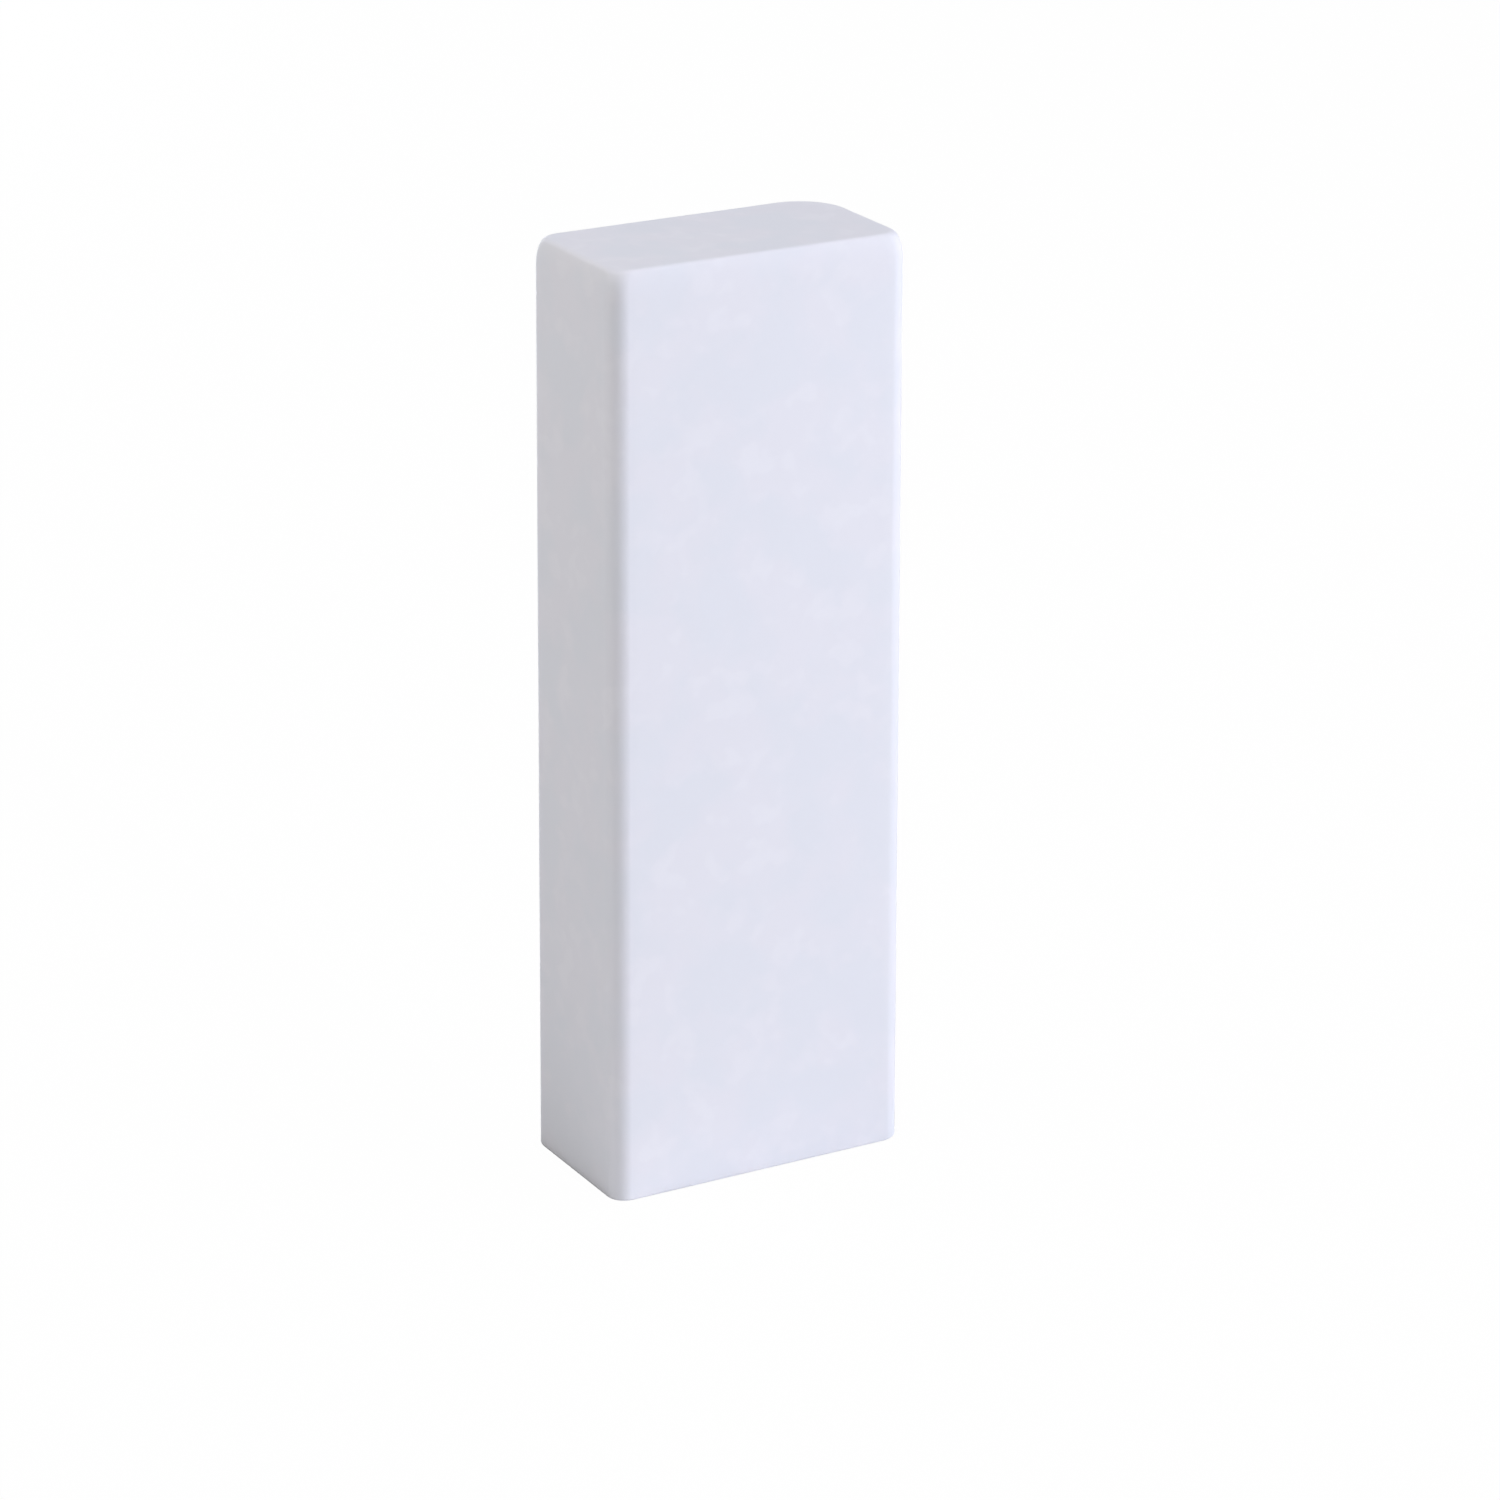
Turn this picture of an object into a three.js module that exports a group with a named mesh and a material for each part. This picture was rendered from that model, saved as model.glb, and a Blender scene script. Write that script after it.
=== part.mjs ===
// Shoe eraser: one solid block of white rubber that stands on its square-cut foot.
//
// The block is pressed in a mould that is open at the foot. Its walls lean inwards a little so that it
// draws out of the mould, and its long edges are rounded. Just below the closed end each wall bends
// inwards over a soft shoulder and then turns over a crisp edge onto the flat end. One corner of that end
// is fuller than the others. The foot keeps the crisp edges of the trimmed end.
//
// Frame: millimetres, +Z up along the block, the foot's middle at the origin, the broad front face
// towards -Y and the narrow sides towards -X and +X.

import * as THREE from 'three';

// Driving dimensions.
const LENGTH = 72;
const FOOT_WIDTH = 25;
const FOOT_THICKNESS = 13.3;
const DRAFT_DEGREES = 0.2;
const LONG_EDGE_RADIUS = 1.4;
const FOOT_EDGE_RADIUS = 0.3;
const SHOULDER_REACH = 2;
const SHOULDER_DEGREES = 25;
const END_EDGE_RADIUS = 0.5;
const FULL_CORNER_RADIUS = 3.6;
const FULL_CORNER_REACH = 14;

// Facets of each round, and of the stretch over which the full corner grows.
const CORNER_STEPS = 8;
const SHOULDER_STEPS = 6;
const END_EDGE_STEPS = 6;
const FOOT_EDGE_STEPS = 3;
const FULL_CORNER_STEPS = 6;

const QUARTER_TURN = Math.PI / 2;
const SHOULDER_TURN = THREE.MathUtils.degToRad(SHOULDER_DEGREES);
const DRAFT_SLOPE = Math.tan(THREE.MathUtils.degToRad(DRAFT_DEGREES));

// Corners are counted in quarter turns from the back right one, which is the full one.
const CORNERS = [
  { side: 1, depth: 1, full: true },
  { side: -1, depth: 1, full: false },
  { side: -1, depth: -1, full: false },
  { side: 1, depth: -1, full: false },
];

// The plan radius of a corner at a height. The full corner's radius grows with the square of the climb,
// so that its edge bows outwards all the way and leaves the straight part without a kink.
function cornerRadius(corner, height) {
  if (!corner.full) {
    return LONG_EDGE_RADIUS;
  }
  const climb = 1 - (LENGTH - height) / FULL_CORNER_REACH;
  return THREE.MathUtils.lerp(LONG_EDGE_RADIUS, FULL_CORNER_RADIUS, Math.max(climb, 0) ** 2);
}

// The wall's profile from the foot up: how far it is drawn in from the leaning wall at each height.
function wallProfile() {
  const profile = [];
  for (let step = 0; step <= FOOT_EDGE_STEPS; step++) {
    const turn = (step / FOOT_EDGE_STEPS) * QUARTER_TURN;
    profile.push({
      drawnIn: FOOT_EDGE_RADIUS * (1 - Math.sin(turn)),
      height: FOOT_EDGE_RADIUS * (1 - Math.cos(turn)),
    });
  }

  const edgeStart = LENGTH - END_EDGE_RADIUS * (1 - Math.sin(SHOULDER_TURN));
  const shoulderStart = edgeStart - SHOULDER_REACH;
  const growthStart = Math.min(LENGTH - FULL_CORNER_REACH, shoulderStart);
  for (let step = 0; step < FULL_CORNER_STEPS; step++) {
    const height = THREE.MathUtils.lerp(growthStart, shoulderStart, step / FULL_CORNER_STEPS);
    profile.push({ drawnIn: 0, height });
  }

  // The shoulder's slope grows with the square of the climb, so it starts softly and is steepest at the edge.
  const shoulderDrawnIn = (SHOULDER_REACH * Math.tan(SHOULDER_TURN)) / 3;
  for (let step = 0; step < SHOULDER_STEPS; step++) {
    const climb = step / SHOULDER_STEPS;
    profile.push({
      drawnIn: shoulderDrawnIn * climb ** 3,
      height: shoulderStart + SHOULDER_REACH * climb,
    });
  }

  for (let step = 0; step <= END_EDGE_STEPS; step++) {
    const turn = THREE.MathUtils.lerp(SHOULDER_TURN, QUARTER_TURN, step / END_EDGE_STEPS);
    profile.push({
      drawnIn: shoulderDrawnIn + END_EDGE_RADIUS * (Math.cos(SHOULDER_TURN) - Math.cos(turn)),
      height: edgeStart + END_EDGE_RADIUS * (Math.sin(turn) - Math.sin(SHOULDER_TURN)),
    });
  }
  return profile;
}

// One level section of the block: a rectangle with rounded corners, counter-clockwise from +X.
function section({ drawnIn, height }) {
  const lean = DRAFT_SLOPE * height;
  const halfWidth = FOOT_WIDTH / 2 - lean - drawnIn;
  const halfThickness = FOOT_THICKNESS / 2 - lean - drawnIn;
  const ring = [];
  CORNERS.forEach((corner, quarter) => {
    const radius = cornerRadius(corner, height);
    const middleX = corner.side * (halfWidth - radius);
    const middleY = corner.depth * (halfThickness - radius);
    for (let step = 0; step <= CORNER_STEPS; step++) {
      const angle = (quarter + step / CORNER_STEPS) * QUARTER_TURN;
      const x = middleX + radius * Math.cos(angle);
      const y = middleY + radius * Math.sin(angle);
      ring.push(new THREE.Vector3(x, y, height));
    }
  });
  return ring;
}

// Joins a stack of sections into one closed skin: walls between neighbours and a flat cap on each end.
function loft(rings) {
  const around = rings[0].length;
  const topStart = around * (rings.length - 1);
  const triangles = [];
  for (let start = 0; start < topStart; start += around) {
    for (let point = 0; point < around; point++) {
      const next = (point + 1) % around;
      const lower = [start + point, start + next];
      const upper = [start + point + around, start + next + around];
      triangles.push(lower[0], lower[1], upper[1], lower[0], upper[1], upper[0]);
    }
  }
  for (const [a, b, c] of THREE.ShapeUtils.triangulateShape(rings.at(0), [])) {
    triangles.push(c, b, a);
  }
  for (const [a, b, c] of THREE.ShapeUtils.triangulateShape(rings.at(-1), [])) {
    triangles.push(topStart + a, topStart + b, topStart + c);
  }
  const geometry = new THREE.BufferGeometry().setFromPoints(rings.flat());
  geometry.setIndex(triangles);
  geometry.computeVertexNormals();
  return geometry;
}

// Cool white eraser rubber: no gloss, no metal.
function whiteRubber() {
  return new THREE.MeshStandardMaterial({ color: 0xe9e9f1, roughness: 0.6, metalness: 0 });
}

function eraserBlock() {
  const block = new THREE.Mesh(loft(wallProfile().map(section)), whiteRubber());
  block.name = 'eraser_block';
  return block;
}

const shoeEraser = new THREE.Group();
shoeEraser.add(eraserBlock());

export default shoeEraser;
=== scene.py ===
# %% [markdown]
# # A shoe eraser
# The real thing is one block of white rubber, about as long as a finger. It is pressed in a mould, pulled
# out of it and trimmed at one end, and that is all there is to it. A plain white block is a good lesson,
# because it hides nothing: the picture is made only of the roundness of its edges, the evenness of its
# skin and the light that falls on each face. So those three are what this script works at.

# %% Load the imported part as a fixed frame
import math

import bpy
from mathutils import Matrix, Vector


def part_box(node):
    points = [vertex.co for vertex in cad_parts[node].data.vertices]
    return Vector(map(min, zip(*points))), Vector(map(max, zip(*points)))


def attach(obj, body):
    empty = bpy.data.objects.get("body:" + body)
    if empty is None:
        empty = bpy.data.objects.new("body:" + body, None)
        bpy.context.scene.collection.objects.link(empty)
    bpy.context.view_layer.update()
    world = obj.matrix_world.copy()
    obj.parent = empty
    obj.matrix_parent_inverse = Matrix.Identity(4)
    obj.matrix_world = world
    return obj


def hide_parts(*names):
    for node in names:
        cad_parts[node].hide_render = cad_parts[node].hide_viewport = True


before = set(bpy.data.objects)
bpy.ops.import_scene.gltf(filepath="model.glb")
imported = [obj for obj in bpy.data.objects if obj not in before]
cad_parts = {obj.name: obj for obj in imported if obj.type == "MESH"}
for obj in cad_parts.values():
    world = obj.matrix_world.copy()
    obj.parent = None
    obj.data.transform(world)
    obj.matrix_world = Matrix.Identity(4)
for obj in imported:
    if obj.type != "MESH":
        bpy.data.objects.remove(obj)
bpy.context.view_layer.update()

block_low, block_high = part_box("eraser_block")
MILLIMETRE = 0.001
print("block from", tuple(block_low), "to", tuple(block_high))

# %% [markdown]
# ## Sockets that can be used in sums
# Both the shape and the finish are made by node trees. A tree is easier to read as a sum than as a list
# of links, so this small class wraps the output of a node. Adding or multiplying two of them adds a Math
# node, and one method adds every other kind of node.

# %% The class that turns sums into nodes
class Wire:
    """An output of a node. Sums of wires and numbers add Math nodes to the wire's tree."""

    def __init__(self, tree, socket=None):
        self.tree = tree
        self.socket = socket

    def node(self, kind, settings=None, inputs=None, output=0):
        """Adds a node of any kind: its settings first, then the values or wires of its inputs."""
        made = self.tree.nodes.new(kind)
        for name, value in (settings or {}).items():
            setattr(made, name, value)
        for name, value in (inputs or {}).items():
            if isinstance(value, Wire):
                self.tree.links.new(value.socket, made.inputs[name])
            else:
                made.inputs[name].default_value = value
        return Wire(self.tree, made.outputs[output] if made.outputs else None)

    def sibling(self, output):
        """Another output of the node that this wire comes from."""
        return Wire(self.tree, self.socket.node.outputs[output])

    def math(self, operation, *values):
        """Adds a Math node. The wire gives only its tree, so it is named again where it is a value."""
        return self.node("ShaderNodeMath", {"operation": operation}, dict(enumerate(values)))

    def __add__(self, other):
        return self.math("ADD", self, other)

    def __radd__(self, other):
        return self.math("ADD", other, self)

    def __sub__(self, other):
        return self.math("SUBTRACT", self, other)

    def __rsub__(self, other):
        return self.math("SUBTRACT", other, self)

    def __mul__(self, other):
        return self.math("MULTIPLY", self, other)

    def __rmul__(self, other):
        return self.math("MULTIPLY", other, self)

    def __truediv__(self, other):
        return self.math("DIVIDE", self, other)

    def __rtruediv__(self, other):
        return self.math("DIVIDE", other, self)

    def spread(self, low, high, to_low=0.0, to_high=1.0):
        """This wire's stretch from low to high, spread over another stretch and held at its ends."""
        sockets = {"Value": self, "From Min": low, "From Max": high, "To Min": to_low, "To Max": to_high}
        return self.node("ShaderNodeMapRange", {"clamp": True}, sockets)


print("sums on sockets are ready")

# %% [markdown]
# ## White eraser rubber
# Eraser rubber is a pale filled rubber. It has hardly any grain, but it is never one flat white: the
# filler is not mixed in quite evenly, so there are faint cooler and warmer clouds a few millimetres wide,
# with paler specks in the warm ones. The skin is matt, and a little duller in some places than in others.
# Light also goes a short way into it, which softens the edges of the shade. The clouds could be painted,
# but noise on the block's own coordinates costs no picture and lies right on every face.

# %% The clouded white of the rubber
CLOUDS = {"size": 5.0 * MILLIMETRE, "detail": 2.0, "seed": 0.0}
CLOUD_EDGE = (0.42, 0.58)
SPECKS = {"size": 1.9 * MILLIMETRE, "detail": 1.0, "seed": 6.0}
SPECK_EDGE = (0.52, 0.62)
COOL_WHITE = (0.789, 0.796, 0.870, 1.0)
LILAC_WHITE = (0.810, 0.803, 0.876, 1.0)
PALE_WHITE = (0.825, 0.819, 0.890, 1.0)
# A Mix node has sockets of the same name for each kind of value, so those for colours go by number.
MIX_FACTOR, MIX_FIRST, MIX_SECOND, MIX_COLOUR = 0, 6, 7, 2


def noise(place, size, detail, seed):
    """Soft noise, from about 0 to 1, whose lumps are about as wide as size."""
    sockets = {"Vector": place, "W": seed, "Scale": 1.0 / size, "Detail": detail}
    return place.node("ShaderNodeTexNoise", {"noise_dimensions": "4D"}, sockets)


def blended(share, first, second):
    """The first colour where share is 0, and the second where it is 1."""
    sockets = {MIX_FACTOR: share, MIX_FIRST: first, MIX_SECOND: second}
    return share.node("ShaderNodeMix", {"data_type": "RGBA"}, sockets, MIX_COLOUR)


def clouded_white(place):
    """Cool and lilac clouds, with paler specks in the lilac ones."""
    clouds = noise(place, **CLOUDS).spread(*CLOUD_EDGE)
    specks = noise(place, **SPECKS).spread(*SPECK_EDGE)
    return blended(specks * clouds, blended(clouds, COOL_WHITE, LILAC_WHITE), PALE_WHITE)


print("clouds of", CLOUDS["size"] / MILLIMETRE, "mm and specks of", SPECKS["size"] / MILLIMETRE, "mm")

# %% The finish of the rubber
DULL_PATCHES = {"size": 3.0 * MILLIMETRE, "detail": 3.0, "seed": 4.0}
DULL_PATCH_EDGE = (0.3, 0.7)
ROUGHNESS_RANGE = (0.72, 0.82)
GLOSS = 0.3
GRAIN = {"size": 0.22 * MILLIMETRE, "detail": 2.0, "seed": 9.0}
GRAIN_HEIGHT = 0.01 * MILLIMETRE
GRAIN_STRENGTH = 0.25
LIGHT_ENTERS = 0.1
LIGHT_DEPTH = 0.5 * MILLIMETRE
EQUAL_FOR_ALL_COLOURS = (1.0, 1.0, 1.0)


def emptied_tree(owner):
    """The node tree of a material or a world, with nothing in it yet."""
    owner.use_nodes = True
    owner.node_tree.nodes.clear()
    return owner.node_tree


def white_rubber():
    """Matt white rubber with faint clouds, on the block's own coordinates."""
    material = bpy.data.materials.new("white_rubber")
    place = Wire(emptied_tree(material)).node("ShaderNodeTexCoord", output="Object")
    bump = {"Strength": GRAIN_STRENGTH, "Distance": GRAIN_HEIGHT, "Height": noise(place, **GRAIN)}
    skin = {
        "Base Color": clouded_white(place),
        "Roughness": noise(place, **DULL_PATCHES).spread(*DULL_PATCH_EDGE, *ROUGHNESS_RANGE),
        "Normal": place.node("ShaderNodeBump", inputs=bump),
        "Specular IOR Level": GLOSS,
        "Subsurface Weight": LIGHT_ENTERS,
        "Subsurface Radius": EQUAL_FOR_ALL_COLOURS,
        "Subsurface Scale": LIGHT_DEPTH,
    }
    surface = place.node("ShaderNodeBsdfPrincipled", inputs=skin)
    place.node("ShaderNodeOutputMaterial", inputs={"Surface": surface})
    return material


rubber = white_rubber()
print("finish", rubber.name, "has", len(rubber.node_tree.nodes), "nodes")

# %% [markdown]
# ## The moulded block
# The block could be a cube with a Bevel modifier, but its edges are not all alike. The long edges have a
# plain round. Below the closed end the walls bend in over a soft shoulder and then turn over a crisp edge.
# The trimmed foot is crisp, and one corner of the closed end is fuller than the rest. The walls also lean
# in a little, as they must to leave the mould. All that is one rule, so Geometry Nodes make it: a fine
# cube is the raw lump, and each of its points is moved to where the rule says.

# %% Sizes of the block
BLOCK_SIZES = {
    "Length": block_high.z - block_low.z,
    "Foot Width": block_high.x - block_low.x,
    "Foot Thickness": block_high.y - block_low.y,
    "Draft Slope": math.tan(math.radians(0.2)),
    "Long Edge Radius": 1.4 * MILLIMETRE,
    "Foot Edge Radius": 0.3 * MILLIMETRE,
    "Shoulder Reach": 2.0 * MILLIMETRE,
    "Shoulder Slope": math.tan(math.radians(25.0)),
    "End Edge Radius": 0.5 * MILLIMETRE,
    "Full Corner Radius": 3.6 * MILLIMETRE,
    "Full Corner Reach": 14.0 * MILLIMETRE,
    "Unevenness": 0.02 * MILLIMETRE,
    "Unevenness Size": 9.0 * MILLIMETRE,
    "Seed": 3.0,
}
print(len(BLOCK_SIZES), "sizes drive the block")

# %% The wall from foot to end
QUARTER_TURN = math.pi / 2
# The lump's height, from 0 to 1, is shared out: first comes the foot's edge, then the straight wall, then
# the shoulder and last the edge of the end.
FOOT_SHARE = 0.05
SHOULDER_START = 0.8
EDGE_START = 0.88


def wall_profile(climb, size):
    """The height of a point on the wall, and how far it is drawn in there, from its climb of 0 to 1."""
    bend = climb.math("ARCTANGENT", size["Shoulder Slope"])
    foot_turn = climb.spread(0.0, FOOT_SHARE, 0.0, QUARTER_TURN)
    stem = climb.spread(FOOT_SHARE, SHOULDER_START)
    shoulder = climb.spread(SHOULDER_START, EDGE_START)
    edge_turn = climb.spread(EDGE_START, 1.0, bend, QUARTER_TURN)
    foot_radius = size["Foot Edge Radius"]
    edge_radius = size["End Edge Radius"]
    foot_rise = foot_radius * (1.0 - climb.math("COSINE", foot_turn))
    shoulder_rise = shoulder * size["Shoulder Reach"]
    edge_rise = edge_radius * (climb.math("SINE", edge_turn) - climb.math("SINE", bend))
    edge_height = edge_radius * (1.0 - climb.math("SINE", bend))
    stem_rise = stem * (size["Length"] - foot_radius - size["Shoulder Reach"] - edge_height)
    height = foot_rise + stem_rise + shoulder_rise + edge_rise
    foot_inset = foot_radius * (1.0 - climb.math("SINE", foot_turn))
    # The slope grows with the square of the climb, so the shoulder draws the wall in by a third of what
    # an even slope would.
    shoulder_inset = size["Shoulder Slope"] / 3 * shoulder_rise * shoulder * shoulder
    edge_inset = edge_radius * (climb.math("COSINE", bend) - climb.math("COSINE", edge_turn))
    return height, foot_inset + shoulder_inset + edge_inset


print("the walls lean in by", BLOCK_SIZES["Draft Slope"] * BLOCK_SIZES["Length"] / MILLIMETRE, "mm")

# %% The rounded corners of one level
LUMP_HALF = 1.0
FLAT_SHARE = 0.6
TINY = 1e-9


def corner_radius(x, y, height, size):
    """The plan radius of the corner nearest to a point: the back right one fills out near the end."""
    left_to_climb = (size["Length"] - height) / size["Full Corner Reach"]
    rise = x.math("MAXIMUM", 1.0 - left_to_climb, 0.0)
    at_full_corner = x.math("GREATER_THAN", x, 0.0) * x.math("GREATER_THAN", y, 0.0)
    growth = size["Full Corner Radius"] - size["Long Edge Radius"]
    return size["Long Edge Radius"] + at_full_corner * growth * rise * rise


def level_outline(x, y, half_width, half_depth, corner):
    """Moves a point of the lump's square section into a rectangle whose corners are round."""
    far_x = x.math("ABSOLUTE", x)
    far_y = x.math("ABSOLUTE", y)
    flat_x = far_x.spread(0.0, FLAT_SHARE, 0.0, half_width - corner)
    flat_y = far_y.spread(0.0, FLAT_SHARE, 0.0, half_depth - corner)
    over_x = far_x.spread(FLAT_SHARE, LUMP_HALF, 0.0, corner)
    over_y = far_y.spread(FLAT_SHARE, LUMP_HALF, 0.0, corner)
    straight = x.math("SQRT", over_x * over_x + over_y * over_y)
    pull = x.math("MAXIMUM", over_x, over_y) / x.math("MAXIMUM", straight, TINY)
    moved_x = x.math("SIGN", x) * (flat_x + over_x * pull)
    moved_y = x.math("SIGN", y) * (flat_y + over_y * pull)
    return moved_x, moved_y


print("the full corner grows to", BLOCK_SIZES["Full Corner Radius"] / MILLIMETRE, "mm")

# %% The unevenness of the skin
STILL_BELOW = 1.0 * MILLIMETRE
UNEVEN_ABOVE = 6.0 * MILLIMETRE
UNEVENNESS_DETAIL = 1.0
NOISE_MIDDLE = 0.5


def uneven(shaped, size):
    """Lifts and sinks the skin by a hair, as rubber does when it cools, but leaves the foot flat."""
    place = shaped.node("GeometryNodeInputPosition")
    outwards = shaped.node("GeometryNodeInputNormal")
    height = shaped.node("ShaderNodeSeparateXYZ", inputs={"Vector": place}, output="Z")
    swell = noise(place, size["Unevenness Size"], UNEVENNESS_DETAIL, size["Seed"])
    free = height.spread(STILL_BELOW, UNEVEN_ABOVE)
    lift = (swell - NOISE_MIDDLE) / NOISE_MIDDLE * free * size["Unevenness"]
    push = {"Vector": outwards, "Scale": lift}
    offset = shaped.node("ShaderNodeVectorMath", {"operation": "SCALE"}, push)
    return shaped.node("GeometryNodeSetPosition", inputs={"Geometry": shaped, "Offset": offset})


print("the skin is uneven by up to", BLOCK_SIZES["Unevenness"] / MILLIMETRE, "mm")

# %% The tree of the block
POINTS_ACROSS = 81
POINTS_DEEP = 65
POINTS_UP = 141


def block_tree(material):
    """The rule of the block: a fine lump, moved to its shape, made uneven, smooth and painted."""
    tree = bpy.data.node_groups.new("moulded block", "GeometryNodeTree")
    tree.interface.new_socket("Geometry", in_out="OUTPUT", socket_type="NodeSocketGeometry")
    for name in BLOCK_SIZES:
        tree.interface.new_socket(name, in_out="INPUT", socket_type="NodeSocketFloat")
    given = Wire(tree).node("NodeGroupInput")
    size = {name: given.sibling(name) for name in BLOCK_SIZES}
    counts = {"Vertices X": POINTS_ACROSS, "Vertices Y": POINTS_DEEP, "Vertices Z": POINTS_UP}
    lump_size = {"Size": (2 * LUMP_HALF, 2 * LUMP_HALF, 2 * LUMP_HALF)}
    lump = given.node("GeometryNodeMeshCube", inputs=lump_size | counts)
    place = given.node("GeometryNodeInputPosition")
    x = given.node("ShaderNodeSeparateXYZ", inputs={"Vector": place})
    y = x.sibling("Y")
    climb = (x.sibling("Z") + LUMP_HALF) / (2 * LUMP_HALF)
    height, drawn_in = wall_profile(climb, size)
    lean = size["Draft Slope"] * height + drawn_in
    half_width = size["Foot Width"] / 2 - lean
    half_depth = size["Foot Thickness"] / 2 - lean
    corner = corner_radius(x, y, height, size)
    moved_x, moved_y = level_outline(x, y, half_width, half_depth, corner)
    moved = given.node("ShaderNodeCombineXYZ", inputs={"X": moved_x, "Y": moved_y, "Z": height})
    shaped = given.node("GeometryNodeSetPosition", inputs={"Geometry": lump, "Position": moved})
    smooth = given.node("GeometryNodeSetShadeSmooth", inputs={"Geometry": uneven(shaped, size)})
    whole = given.node("GeometryNodeRealizeInstances", inputs={"Geometry": smooth})
    painted = given.node("GeometryNodeSetMaterial", inputs={"Geometry": whole, "Material": material})
    given.node("NodeGroupOutput", inputs={"Geometry": painted})
    return tree


moulding_rule = block_tree(rubber)
print("the block's tree has", len(moulding_rule.nodes), "nodes")


# %% The block as a plain mesh, riding on the part
def added(name, data):
    """A new object in the scene."""
    made = bpy.data.objects.new(name, data)
    bpy.context.scene.collection.objects.link(made)
    return made


def made_by(tree, name, sizes):
    """Runs a Geometry Nodes tree once and keeps its result as a plain mesh."""
    holder = added(name, bpy.data.meshes.new(name))
    modifier = holder.modifiers.new("rule", "NODES")
    modifier.node_group = tree
    for socket in tree.interface.items_tree:
        if socket.in_out == "INPUT":
            modifier[socket.identifier] = sizes[socket.name]
    result = holder.evaluated_get(bpy.context.evaluated_depsgraph_get())
    mesh = bpy.data.meshes.new_from_object(result)
    holder.modifiers.remove(modifier)
    # The raw lump brings an empty material slot of its own, which no face uses.
    while None in mesh.materials[:]:
        mesh.materials.pop(index=mesh.materials[:].index(None))
    holder.data = mesh
    return holder


block = made_by(moulding_rule, "moulded_block", BLOCK_SIZES)
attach(block, "root")
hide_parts("eraser_block")
print(block.name, "has", len(block.data.polygons), "faces")

# %% [markdown]
# ## The camera
# The block stands a little turned, so that its front, its left side and its end all show. The angles and
# the distance were worked out from the slant of its edges: long upright edges that draw together
# downwards give the distance, and the two slants of the foot give the turn.

# %% Set up the camera
PHOTO_SIDE = 1500
FOCAL_PIXELS = 5237.0
SENSOR_WIDTH = 36.0
TURN = math.radians(29.66)
LOOK_DOWN = math.radians(20.34)
ROLL = math.radians(0.24)
CAMERA_DISTANCE = 392.0 * MILLIMETRE
NEAREST_SEEN = 10.0 * MILLIMETRE
MIDDLE_PIXEL = (718.88, 700.69)


def photo_camera(middle):
    """A camera whose picture puts the block's middle on its pixel, at the photograph's angles."""
    level = math.cos(LOOK_DOWN)
    back = Vector((-math.sin(TURN) * level, -math.cos(TURN) * level, math.sin(LOOK_DOWN)))
    flat_right = Vector((0.0, 0.0, 1.0)).cross(back).normalized()
    flat_up = back.cross(flat_right)
    right = flat_right * math.cos(ROLL) + flat_up * math.sin(ROLL)
    up = flat_up * math.cos(ROLL) - flat_right * math.sin(ROLL)
    metres_a_pixel = CAMERA_DISTANCE / FOCAL_PIXELS
    aside = (MIDDLE_PIXEL[0] - PHOTO_SIDE / 2) * metres_a_pixel
    above = (PHOTO_SIDE / 2 - MIDDLE_PIXEL[1]) * metres_a_pixel
    place = middle + back * CAMERA_DISTANCE - right * aside - up * above
    camera = added("photo_camera", bpy.data.cameras.new("photo_camera"))
    camera.data.sensor_width = SENSOR_WIDTH
    camera.data.lens = SENSOR_WIDTH * FOCAL_PIXELS / PHOTO_SIDE
    camera.data.clip_start = NEAREST_SEEN
    turned = Matrix((right, up, back)).transposed().to_4x4()
    camera.matrix_world = Matrix.Translation(place) @ turned
    return camera


block_middle = (block_low + block_high) / 2
bpy.context.scene.camera = photo_camera(block_middle)
print("camera at", tuple(bpy.context.scene.camera.location))

# %% [markdown]
# ## The floor and the white behind it
# The block stands on a pale floor in front of nothing but white. A floor that is lit until it is white
# would need so much light that the block burns out, so the camera is shown plain white instead. Only under
# the round of the foot is the floor a lit surface to the camera too, and there it keeps the shadow where
# the two touch. For the light that bounces, the floor is grey, with painted shade and painted light in it:
# it is painted darker at the left, where the block's own shade lies, and painted paler in front. Along the
# foot of the sides and the back it is painted black, which is painted shade: it leaves the round above it
# without light from below, which draws the thin dark line that the narrow side stands on.

# %% White to the eye, grey to the light that bounces
WHITE = (1.0, 1.0, 1.0, 1.0)
BLACK = (0.0, 0.0, 0.0, 1.0)
PLAIN_STRENGTH = 1.0


def seen_directly(tree):
    """1 where a ray comes from the camera, a reflection or a clear material, and 0 for bounced light."""
    camera_ray = Wire(tree).node("ShaderNodeLightPath", output="Is Camera Ray")
    glossy_ray = camera_ray.sibling("Is Glossy Ray")
    through_ray = camera_ray.sibling("Is Transmission Ray")
    return camera_ray.math("MAXIMUM", camera_ray, camera_ray.math("MAXIMUM", glossy_ray, through_ray))


def shaders_mixed(share, first, second):
    """The first shader where share is 0, and the second where it is 1."""
    return share.node("ShaderNodeMixShader", inputs={0: share, 1: first, 2: second})


print("plain white has a strength of", PLAIN_STRENGTH)

# %% How white the floor looks, and how pale it is for bounced light, with painted shade and light
FLOOR_PALENESS = 0.7
# Painted shade at the left and painted light in front, only for the light that bounces.
LEFT_PAINTED_SHADE_PALENESS = 0.47
FRONT_PAINTED_LIGHT_PALENESS = 0.78
PAINTED_SHADE_AND_LIGHT_REACH = 14.0 * MILLIMETRE
WHITE_AT_FOOT = 0.0
WHITE_FAR_OFF = 0.99
CONTACT_SHADOW_INSET = 0.45 * MILLIMETRE
CONTACT_SHADOW_REACH = 0.1 * MILLIMETRE
# A black line of painted shade along the foot, only for the light that bounces.
PAINTED_SHADE_LINE_WIDTH = 0.6 * MILLIMETRE


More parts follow.
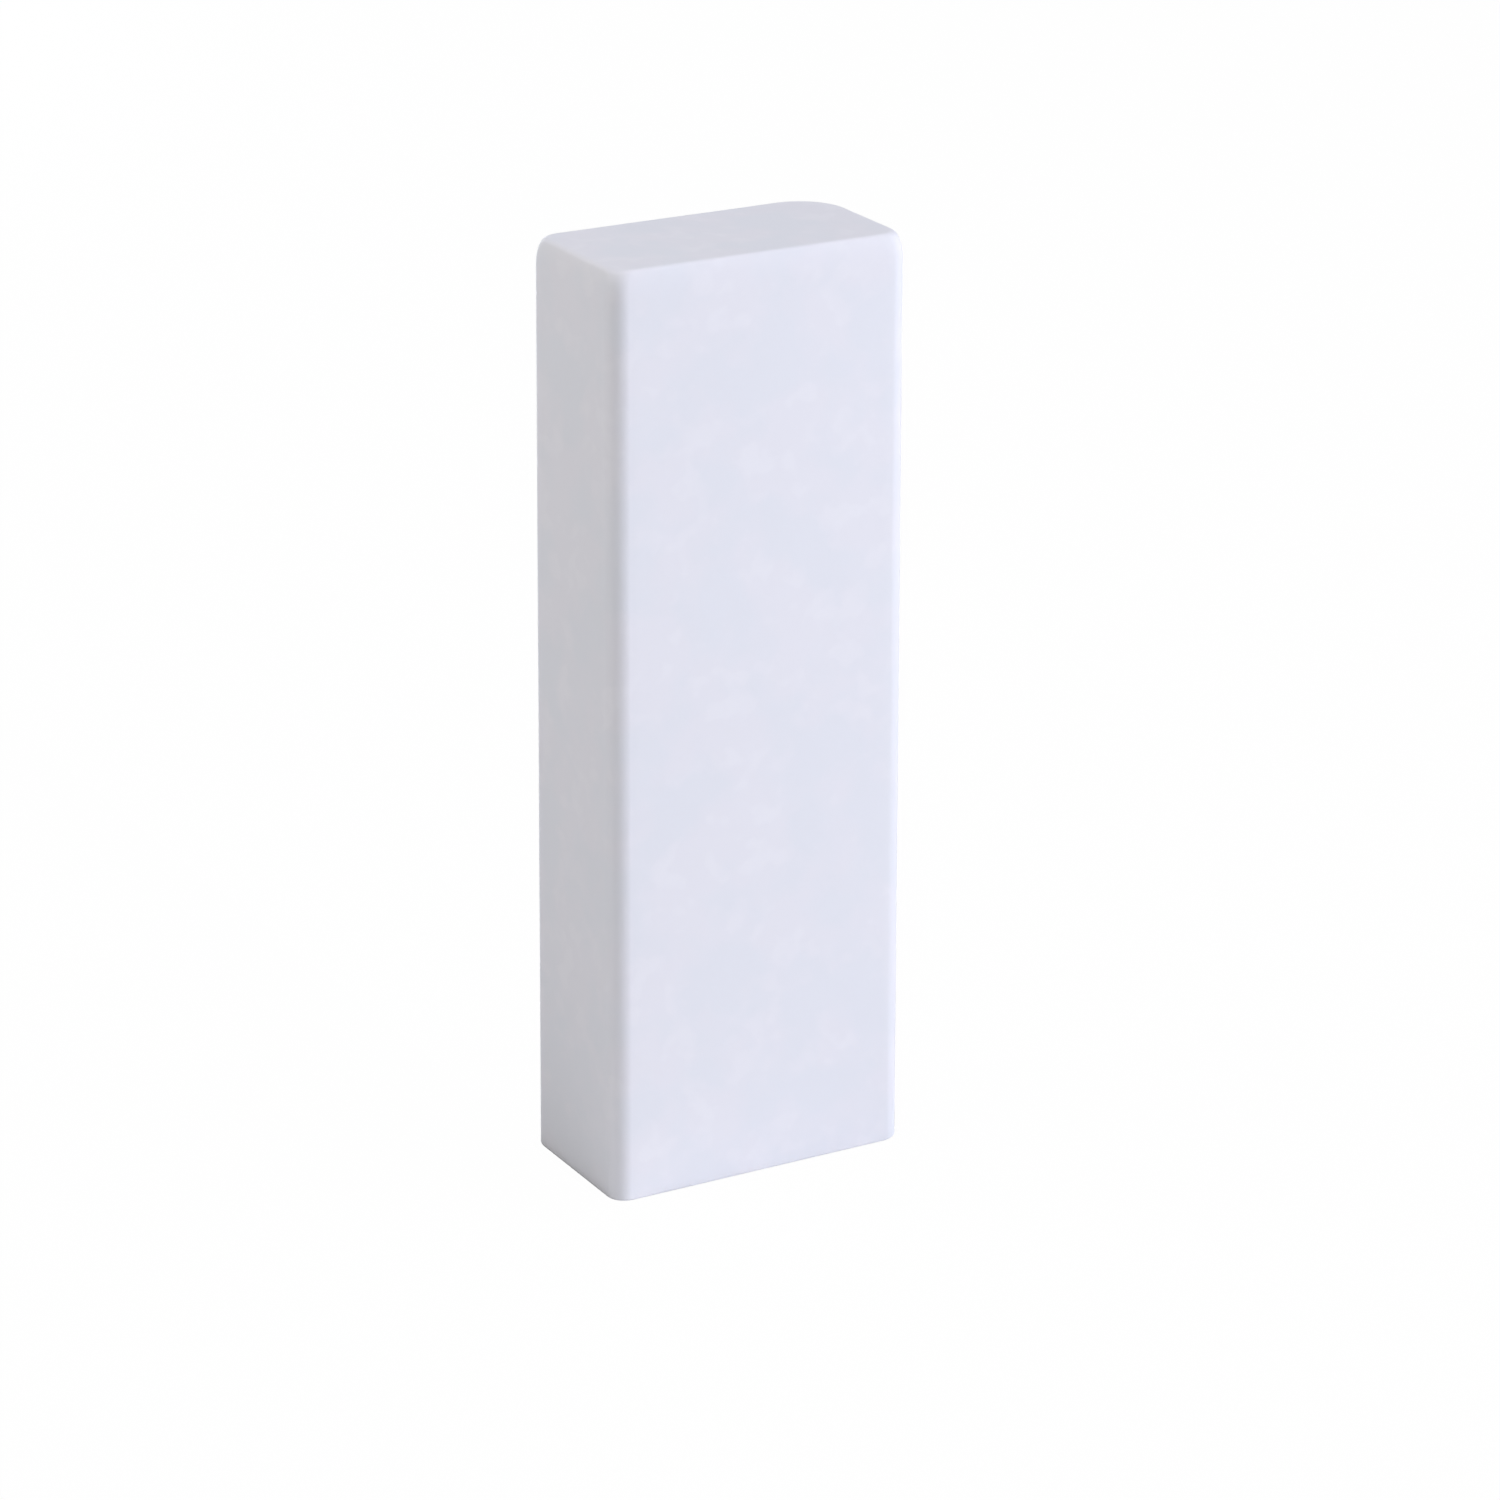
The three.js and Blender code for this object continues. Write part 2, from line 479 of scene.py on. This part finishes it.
def foot_distance(x, y):
    """How far a point of the floor lies outside the block's outline; less than 0 under the block."""
    corner = BLOCK_SIZES["Long Edge Radius"]
    beside = x.math("MAXIMUM", x.math("ABSOLUTE", x) - (block_high.x - corner), 0.0)
    ahead = x.math("MAXIMUM", x.math("ABSOLUTE", y) - (block_high.y - corner), 0.0)
    return x.math("SQRT", beside * beside + ahead * ahead) - corner


def whiteness(x, y):
    """How white the floor is shown: plain white, but for the contact shadow under the foot's round."""
    outside = foot_distance(x, y) + CONTACT_SHADOW_INSET
    return outside.spread(0.0, CONTACT_SHADOW_REACH, WHITE_AT_FOOT, WHITE_FAR_OFF)


def paleness_with_painted_shade_and_light(x, y):
    """How much light the floor gives back: painted shade at the left, painted light in front, black along
    the foot.
    """
    in_front = x.math("LESS_THAN", y, block_low.y)
    at_left = x.math("LESS_THAN", x, block_low.x)
    # Painted shade at the left, where the block's own shade lies, and painted light in front.
    shade = (block_low.x - x).spread(0.0, PAINTED_SHADE_AND_LIGHT_REACH, FLOOR_PALENESS - LEFT_PAINTED_SHADE_PALENESS, 0.0)
    glow = (block_low.y - y).spread(0.0, PAINTED_SHADE_AND_LIGHT_REACH, FRONT_PAINTED_LIGHT_PALENESS - FLOOR_PALENESS, 0.0)
    grey = FLOOR_PALENESS + in_front * (1.0 - at_left) * glow - at_left * (1.0 - in_front) * shade
    # Painted shade: a black line along the foot of the sides and the back.
    behind_near_edge = x.math("GREATER_THAN", y, block_low.y + BLOCK_SIZES["Long Edge Radius"])
    painted_shade_line = x.math("LESS_THAN", foot_distance(x, y), PAINTED_SHADE_LINE_WIDTH) * behind_near_edge
    return grey * (1.0 - painted_shade_line)


print("the contact shadow starts", CONTACT_SHADOW_INSET / MILLIMETRE, "mm inside the outline")

# %% The floor
FLOOR_HALF = 3.0
FLOOR_DROP = 0.02 * MILLIMETRE


def floor_finish():
    """Plain white to the eye; to the light that bounces, grey with painted shade and painted light."""
    material = bpy.data.materials.new("pale_floor")
    direct = seen_directly(emptied_tree(material))
    place = direct.node("ShaderNodeTexCoord", output="Object")
    x = direct.node("ShaderNodeSeparateXYZ", inputs={"Vector": place})
    y = x.sibling("Y")
    black = direct.node("ShaderNodeBsdfDiffuse", inputs={"Color": BLACK})
    white = direct.node("ShaderNodeBsdfDiffuse", inputs={"Color": WHITE})
    lit = shaders_mixed(paleness_with_painted_shade_and_light(x, y), black, white)
    plain = direct.node("ShaderNodeEmission", inputs={"Color": WHITE, "Strength": PLAIN_STRENGTH})
    mixed = shaders_mixed(direct * whiteness(x, y), lit, plain)
    direct.node("ShaderNodeOutputMaterial", inputs={"Surface": mixed})
    return material


def pale_floor():
    """A square sheet just below the foot."""
    corners = [(-1, -1), (1, -1), (1, 1), (-1, 1)]
    points = [(x * FLOOR_HALF, y * FLOOR_HALF, block_low.z - FLOOR_DROP) for x, y in corners]
    mesh = bpy.data.meshes.new("floor")
    mesh.from_pydata(points, [], [range(len(points))])
    mesh.materials.append(floor_finish())
    return added("floor", mesh)


floor = pale_floor()
print(floor.name, "is", 2 * FLOOR_HALF, "metres wide")

# %% The white room
ROOM_STRENGTH = 0.1


def white_world():
    """A room that is plain white to the eye and gives the block a little light from all round."""
    world = bpy.data.worlds.new("white_room")
    direct = seen_directly(emptied_tree(world))
    room = direct.node("ShaderNodeBackground", inputs={"Color": WHITE, "Strength": ROOM_STRENGTH})
    plain = direct.node("ShaderNodeBackground", inputs={"Color": WHITE, "Strength": PLAIN_STRENGTH})
    mixed = shaders_mixed(direct, room, plain)
    direct.node("ShaderNodeOutputWorld", inputs={"Surface": mixed})
    return world


bpy.context.scene.world = white_world()
print(bpy.context.scene.world.name, "lights the block with a strength of", ROOM_STRENGTH)

# %% [markdown]
# ## Light
# Five soft lamps stand round the block, and the room adds a little. The strongest is low at the front right
# and makes the broad front the brightest face; a weak one fills the front from the left. One at the left,
# raised, lights the narrow side and the bend above it. One high at the right lights the end. The round of
# the near edge lies between the light on the front and the light on the side and gets the least of both,
# which draws the thin darker line there. The fifth stands behind the block, so that its back is white too
# when it is seen from there.

# %% Five soft lamps
LAMP_DISTANCE = 0.45
LAMP_SIDE = 0.2
COOL_LIGHT = (0.89, 0.92, 1.0)
WARM_LIGHT = (1.0, 0.985, 0.93)


def soft_lamp(name, turn, rise, watts, colour):
    """A square lamp that faces the block's middle, turned from straight ahead and raised, in degrees."""
    lamp = added(name, bpy.data.lights.new(name, "AREA"))
    lamp.data.size = LAMP_SIDE
    lamp.data.energy = watts
    lamp.data.color = colour
    around = math.radians(turn)
    upwards = math.radians(rise)
    level = math.cos(upwards)
    away = Vector((math.sin(around) * level, -math.cos(around) * level, math.sin(upwards)))
    facing = away.to_track_quat("Z", "Y").to_matrix().to_4x4()
    lamp.matrix_world = Matrix.Translation(block_middle + away * LAMP_DISTANCE) @ facing
    return lamp


lamps = [
    soft_lamp("front_right_lamp", turn=45, rise=5, watts=1.42, colour=COOL_LIGHT),
    soft_lamp("front_fill_lamp", turn=-20, rise=5, watts=0.44, colour=WARM_LIGHT),
    soft_lamp("left_lamp", turn=-110, rise=45, watts=0.9, colour=WARM_LIGHT),
    soft_lamp("high_right_lamp", turn=60, rise=65, watts=0.76, colour=COOL_LIGHT),
    soft_lamp("back_lamp", turn=180, rise=0, watts=1.0, colour=COOL_LIGHT),
]
bpy.context.scene.view_settings.view_transform = "Standard"
print("lamps", [lamp.name for lamp in lamps])
